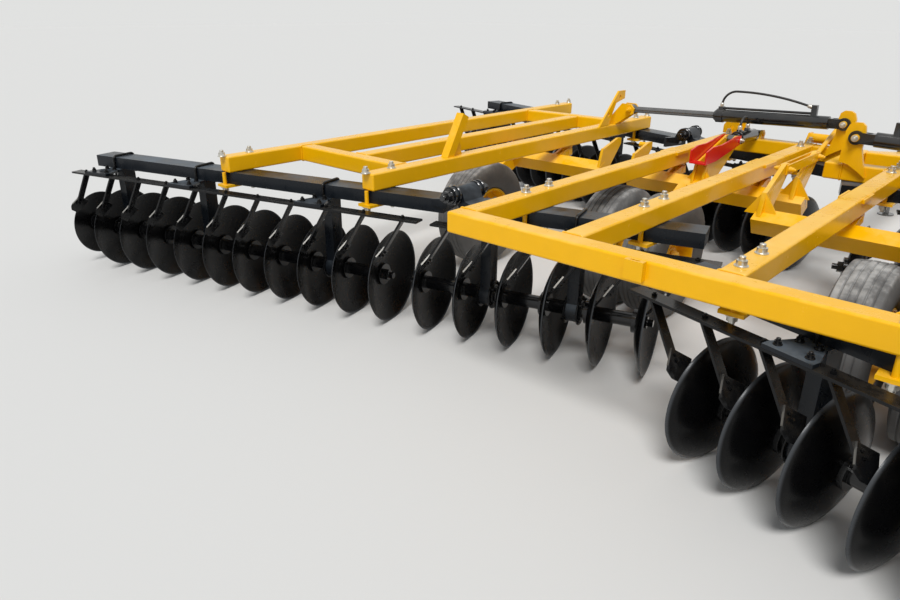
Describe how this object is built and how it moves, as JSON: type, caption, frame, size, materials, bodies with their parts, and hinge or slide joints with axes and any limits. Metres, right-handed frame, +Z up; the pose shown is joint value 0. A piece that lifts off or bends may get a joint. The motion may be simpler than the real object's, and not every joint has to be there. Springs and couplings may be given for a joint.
{
  "type": "folding tandem disc harrow",
  "caption": "Folding tandem disc harrow: four rows of dished blades on angled gangs under a yellow tube frame, with folding wings, lift wheels and a tongue.",
  "frame": {"origin": "middle of the harrow on the ground", "axes": "+Z up, +Y the direction of travel, +X to the right across the gangs"},
  "size_m": [9.1558, 7.1971, 1.2467],
  "materials": {
    "paint": "gloss",
    "beam": "satin",
    "disc": "satin",
    "tyre": "matte",
    "cylinder": "gloss",
    "rod": "polished",
    "lock": "gloss",
    "black": "satin",
    "hose": "matte"
  },
  "bodies": {
    "centre": {"centre_frame": "paint", "fold_tower": "paint", "rear_centre_beams": "beam", "front_centre_beams": "beam", "rear_centre_scrapers": "black", "front_centre_scrapers": "black"},
    "left_wing": {"left_wing_frame": "paint", "left_wing_beams": "beam", "left_wing_scrapers": "black"},
    "left_fold_barrel": {"left_fold_barrel": "cylinder", "left_fold_hose": "hose"},
    "left_fold_rod": {"left_fold_rod": "rod"},
    "left_rockshaft": {"left_rockshaft": "paint", "left_lock_link": "lock"},
    "left_wing_rockshaft": {"left_wing_rockshaft": "paint"},
    "left_twin_wheels": {"left_twin_tyres": "tyre", "left_twin_rims": "paint"},
    "left_wing_wheel": {"left_wing_tyre": "tyre", "left_wing_rim": "paint"},
    "left_lift_barrel": {"left_lift_barrel": "cylinder", "left_lift_hose": "hose"},
    "left_lift_rod": {"left_lift_rod": "rod"},
    "rear_left_centre_gang": {"rear_left_centre_discs": "disc", "rear_left_centre_spools": "black"},
    "rear_left_wing_gang": {"rear_left_wing_discs": "disc", "rear_left_wing_spools": "black"},
    "front_left_centre_gang": {"front_left_centre_discs": "disc", "front_left_centre_spools": "black"},
    "front_left_wing_gang": {"front_left_wing_discs": "disc", "front_left_wing_spools": "black"},
    "right_wing": {"right_wing_frame": "paint", "right_wing_beams": "beam", "right_wing_scrapers": "black"},
    "right_fold_barrel": {"right_fold_barrel": "cylinder", "right_fold_hose": "hose"},
    "right_fold_rod": {"right_fold_rod": "rod"},
    "right_rockshaft": {"right_rockshaft": "paint", "right_lock_link": "lock"},
    "right_wing_rockshaft": {"right_wing_rockshaft": "paint"},
    "right_twin_wheels": {"right_twin_tyres": "tyre", "right_twin_rims": "paint"},
    "right_wing_wheel": {"right_wing_tyre": "tyre", "right_wing_rim": "paint"},
    "right_lift_barrel": {"right_lift_barrel": "cylinder", "right_lift_hose": "hose"},
    "right_lift_rod": {"right_lift_rod": "rod"},
    "rear_right_centre_gang": {"rear_right_centre_discs": "disc", "rear_right_centre_spools": "black"},
    "rear_right_wing_gang": {"rear_right_wing_discs": "disc", "rear_right_wing_spools": "black"},
    "front_right_centre_gang": {"front_right_centre_discs": "disc", "front_right_centre_spools": "black"},
    "front_right_wing_gang": {"front_right_wing_discs": "disc", "front_right_wing_spools": "black"},
    "sync_link": {"sync_link": "paint"},
    "tongue": {"tongue": "paint", "hitch_plate": "paint"},
    "level_link": {"level_link": "paint"},
    "jack": {"jack_tube": "black"},
    "jack_leg": {"jack_leg": "rod"}
  },
  "joints": [
    {"name": "left_wing_fold", "type": "hinge", "parent": "centre", "child": "left_wing", "pos_m": [-1.32, -1.98233, 0.85], "axis": [0, 1, 0], "range_deg": [-4, 90]},
    {"name": "left_fold_barrel_swing", "type": "hinge", "parent": "centre", "child": "left_fold_barrel", "pos_m": [-0.105, 0.4832, 1.085], "axis": [0, 1, 0], "range_deg": [-2, 11]},
    {"name": "left_fold_rod_stroke", "type": "slide", "parent": "left_fold_barrel", "child": "left_fold_rod", "axis": [-0.9996, 0, -0.0296], "range_m": [-0.63, 0.04]},
    {"name": "left_wheel_lift", "type": "hinge", "parent": "centre", "child": "left_rockshaft", "pos_m": [-0.78, -0.19134, 0.768], "axis": [1, 0, 0], "range_deg": [-3, 35]},
    {"name": "left_wing_wheel_lift", "type": "hinge", "parent": "left_wing", "child": "left_wing_rockshaft", "pos_m": [-1.9, -0.19134, 0.768], "axis": [1, 0, 0], "range_deg": [-3, 35]},
    {"name": "left_twin_wheels_spin", "type": "hinge", "parent": "left_rockshaft", "child": "left_twin_wheels", "pos_m": [-0.78, -0.93134, 0.39], "axis": [1, 0, 0], "continuous": true},
    {"name": "left_wing_wheel_spin", "type": "hinge", "parent": "left_wing_rockshaft", "child": "left_wing_wheel", "pos_m": [-2.075, -0.93134, 0.39], "axis": [1, 0, 0], "continuous": true},
    {"name": "left_lift_barrel_swing", "type": "hinge", "parent": "centre", "child": "left_lift_barrel", "pos_m": [-0.7, 0.5635, 0.948], "axis": [-1, 0, 0], "range_deg": [-3, 18]},
    {"name": "left_lift_rod_stroke", "type": "slide", "parent": "left_lift_barrel", "child": "left_lift_rod", "axis": [0, -0.9998, 0.022], "range_m": [-0.03, 0.2]},
    {"name": "rear_left_centre_gang_spin", "type": "hinge", "parent": "centre", "child": "rear_left_centre_gang", "pos_m": [-0.279, -1.67792, 0.2795], "axis": [-0.9598, -0.2807, 0], "continuous": true},
    {"name": "rear_left_wing_gang_spin", "type": "hinge", "parent": "left_wing", "child": "rear_left_wing_gang", "pos_m": [-0.279, -1.67792, 0.2795], "axis": [-0.9598, -0.2807, 0], "continuous": true},
    {"name": "front_left_centre_gang_spin", "type": "hinge", "parent": "centre", "child": "front_left_centre_gang", "pos_m": [-0.279, 0.50025, 0.2795], "axis": [-0.9598, 0.2807, 0], "continuous": true},
    {"name": "front_left_wing_gang_spin", "type": "hinge", "parent": "left_wing", "child": "front_left_wing_gang", "pos_m": [-0.279, 0.50025, 0.2795], "axis": [-0.9598, 0.2807, 0], "continuous": true},
    {"name": "right_wing_fold", "type": "hinge", "parent": "centre", "child": "right_wing", "pos_m": [1.32, -2.50633, 0.85], "axis": [0, -1, 0], "range_deg": [-4, 90]},
    {"name": "right_fold_barrel_swing", "type": "hinge", "parent": "centre", "child": "right_fold_barrel", "pos_m": [0.105, -0.0408, 1.085], "axis": [0, -1, 0], "range_deg": [-2, 11]},
    {"name": "right_fold_rod_stroke", "type": "slide", "parent": "right_fold_barrel", "child": "right_fold_rod", "axis": [0.9996, 0, -0.0296], "range_m": [-0.63, 0.04]},
    {"name": "right_wheel_lift", "type": "hinge", "parent": "centre", "child": "right_rockshaft", "pos_m": [0.78, -0.71534, 0.768], "axis": [1, 0, 0], "range_deg": [-3, 35]},
    {"name": "right_wing_wheel_lift", "type": "hinge", "parent": "right_wing", "child": "right_wing_rockshaft", "pos_m": [1.9, -0.71534, 0.768], "axis": [1, 0, 0], "range_deg": [-3, 35]},
    {"name": "right_twin_wheels_spin", "type": "hinge", "parent": "right_rockshaft", "child": "right_twin_wheels", "pos_m": [0.78, -1.45534, 0.39], "axis": [1, 0, 0], "continuous": true},
    {"name": "right_wing_wheel_spin", "type": "hinge", "parent": "right_wing_rockshaft", "child": "right_wing_wheel", "pos_m": [2.075, -1.45534, 0.39], "axis": [1, 0, 0], "continuous": true},
    {"name": "right_lift_barrel_swing", "type": "hinge", "parent": "centre", "child": "right_lift_barrel", "pos_m": [0.7, 0.0395, 0.948], "axis": [-1, 0, 0], "range_deg": [-3, 18]},
    {"name": "right_lift_rod_stroke", "type": "slide", "parent": "right_lift_barrel", "child": "right_lift_rod", "axis": [0, -0.9998, 0.022], "range_m": [-0.03, 0.2]},
    {"name": "rear_right_centre_gang_spin", "type": "hinge", "parent": "centre", "child": "rear_right_centre_gang", "pos_m": [0.279, -2.20192, 0.2795], "axis": [0.9598, -0.2807, 0], "continuous": true},
    {"name": "rear_right_wing_gang_spin", "type": "hinge", "parent": "right_wing", "child": "rear_right_wing_gang", "pos_m": [0.279, -2.20192, 0.2795], "axis": [0.9598, -0.2807, 0], "continuous": true},
    {"name": "front_right_centre_gang_spin", "type": "hinge", "parent": "centre", "child": "front_right_centre_gang", "pos_m": [0.279, -0.02375, 0.2795], "axis": [0.9598, 0.2807, 0], "continuous": true},
    {"name": "front_right_wing_gang_spin", "type": "hinge", "parent": "right_wing", "child": "front_right_wing_gang", "pos_m": [0.279, -0.02375, 0.2795], "axis": [0.9598, 0.2807, 0], "continuous": true},
    {"name": "sync_link_swing", "type": "hinge", "parent": "right_rockshaft", "child": "sync_link", "pos_m": [-0.1, -0.59534, 0.948], "axis": [1, 0, 0], "range_deg": [-36, 4]},
    {"name": "tongue_level", "type": "hinge", "parent": "centre", "child": "tongue", "pos_m": [0, 0.78866, 0.8], "axis": [1, 0, 0], "range_deg": [-8, 1]},
    {"name": "level_link_swing", "type": "hinge", "parent": "left_rockshaft", "child": "level_link", "pos_m": [-0.2, -0.19134, 0.708], "axis": [1, 0, 0], "range_deg": [-40, 5]},
    {"name": "jack_stow", "type": "hinge", "parent": "tongue", "child": "jack", "pos_m": [-0.1455, 2.73866, 0.52], "axis": [1, 0, 0], "range_deg": [0, 90]},
    {"name": "jack_extend", "type": "slide", "parent": "jack", "child": "jack_leg", "axis": [0, 0, 1], "range_m": [0, 0.25]}
  ],
  "couplings": [
    {"joint": "left_fold_barrel_swing", "follows": "left_wing_fold", "ratio": 0.10208},
    {"joint": "left_fold_rod_stroke", "follows": "left_wing_fold", "m_per_rad": -0.35005},
    {"joint": "left_wing_wheel_lift", "follows": "left_wheel_lift", "ratio": 1},
    {"joint": "left_lift_barrel_swing", "follows": "left_wheel_lift", "ratio": 0.34804},
    {"joint": "left_lift_rod_stroke", "follows": "left_wheel_lift", "m_per_rad": 0.29553},
    {"joint": "right_fold_barrel_swing", "follows": "right_wing_fold", "ratio": 0.10208},
    {"joint": "right_fold_rod_stroke", "follows": "right_wing_fold", "m_per_rad": -0.35005},
    {"joint": "right_wheel_lift", "follows": "left_wheel_lift", "ratio": 1},
    {"joint": "right_wing_wheel_lift", "follows": "left_wheel_lift", "ratio": 1},
    {"joint": "right_lift_barrel_swing", "follows": "left_wheel_lift", "ratio": 0.34804},
    {"joint": "right_lift_rod_stroke", "follows": "left_wheel_lift", "m_per_rad": 0.29553},
    {"joint": "sync_link_swing", "follows": "left_wheel_lift", "ratio": -1},
    {"joint": "tongue_level", "follows": "left_wheel_lift", "ratio": -0.214},
    {"joint": "level_link_swing", "follows": "left_wheel_lift", "ratio": -1.0185}
  ]
}
